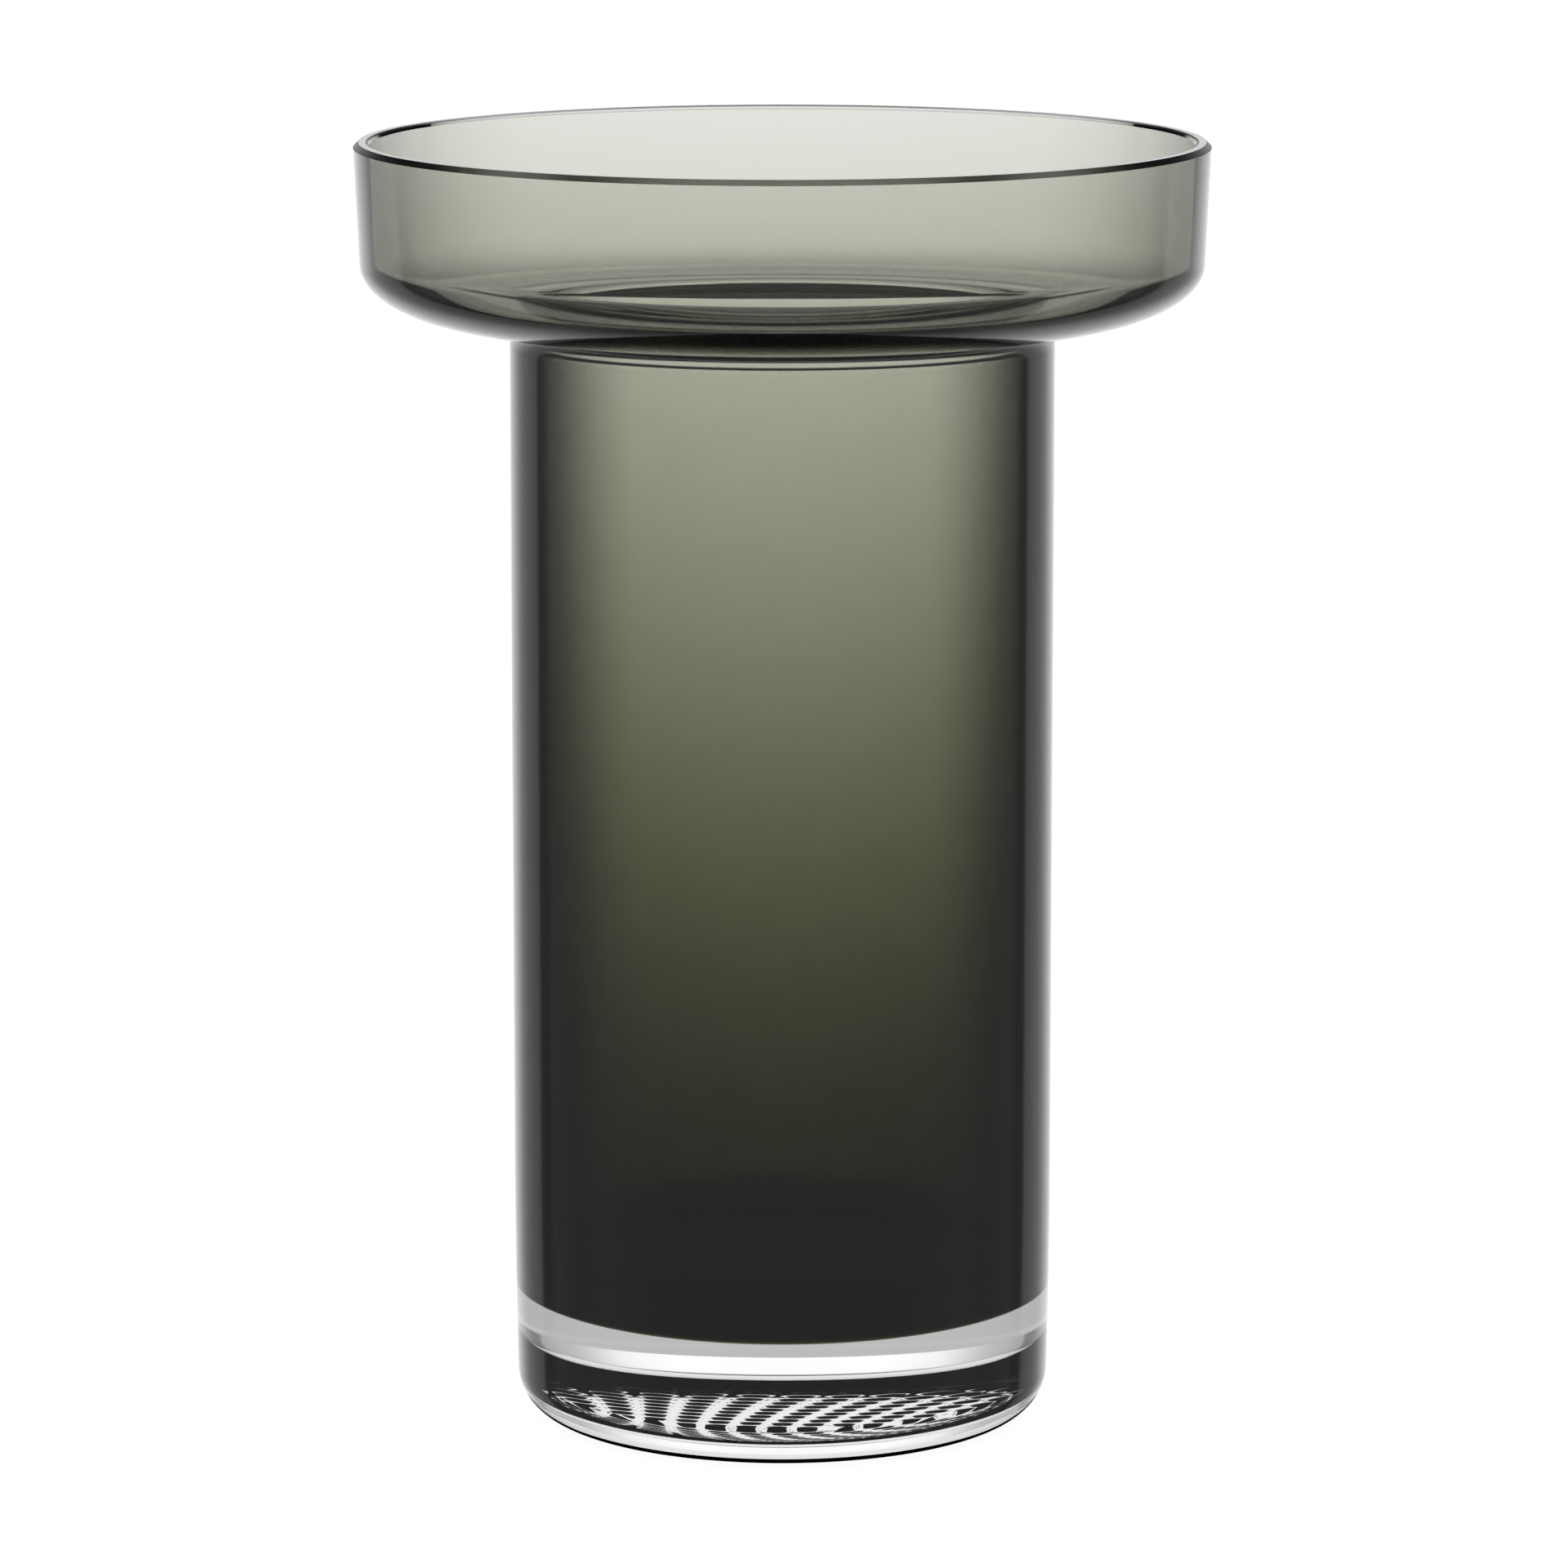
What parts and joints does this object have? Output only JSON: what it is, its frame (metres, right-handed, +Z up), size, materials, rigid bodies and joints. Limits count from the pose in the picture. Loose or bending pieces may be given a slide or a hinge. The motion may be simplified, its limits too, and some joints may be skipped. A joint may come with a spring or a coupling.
{
  "type": "glass cylinder vase",
  "caption": "Tall cased-glass vase: a smoke-tinted tube that opens into a wide shallow bowl, on a thick clear glass foot with a dimpled underside.",
  "frame": {"origin": "centre of the flat ring that the vase stands on, on its axis of symmetry", "axes": "+Z up along the vase's axis; the vase is round, so +X and +Y are free"},
  "size_m": [0.1284, 0.1284, 0.195],
  "materials": {
    "smoke_glass": "glossy transparent glass, smoke grey with an olive cast, pale at the rim and almost black at the foot",
    "clear_glass": "glossy clear glass, fire-polished, with a cut and polished rim"
  },
  "bodies": {
    "root": {"smoke_layer": "smoke_glass", "bowl_casing": "clear_glass", "tube_casing": "clear_glass", "clear_foot": "clear_glass"}
  },
  "joints": []
}
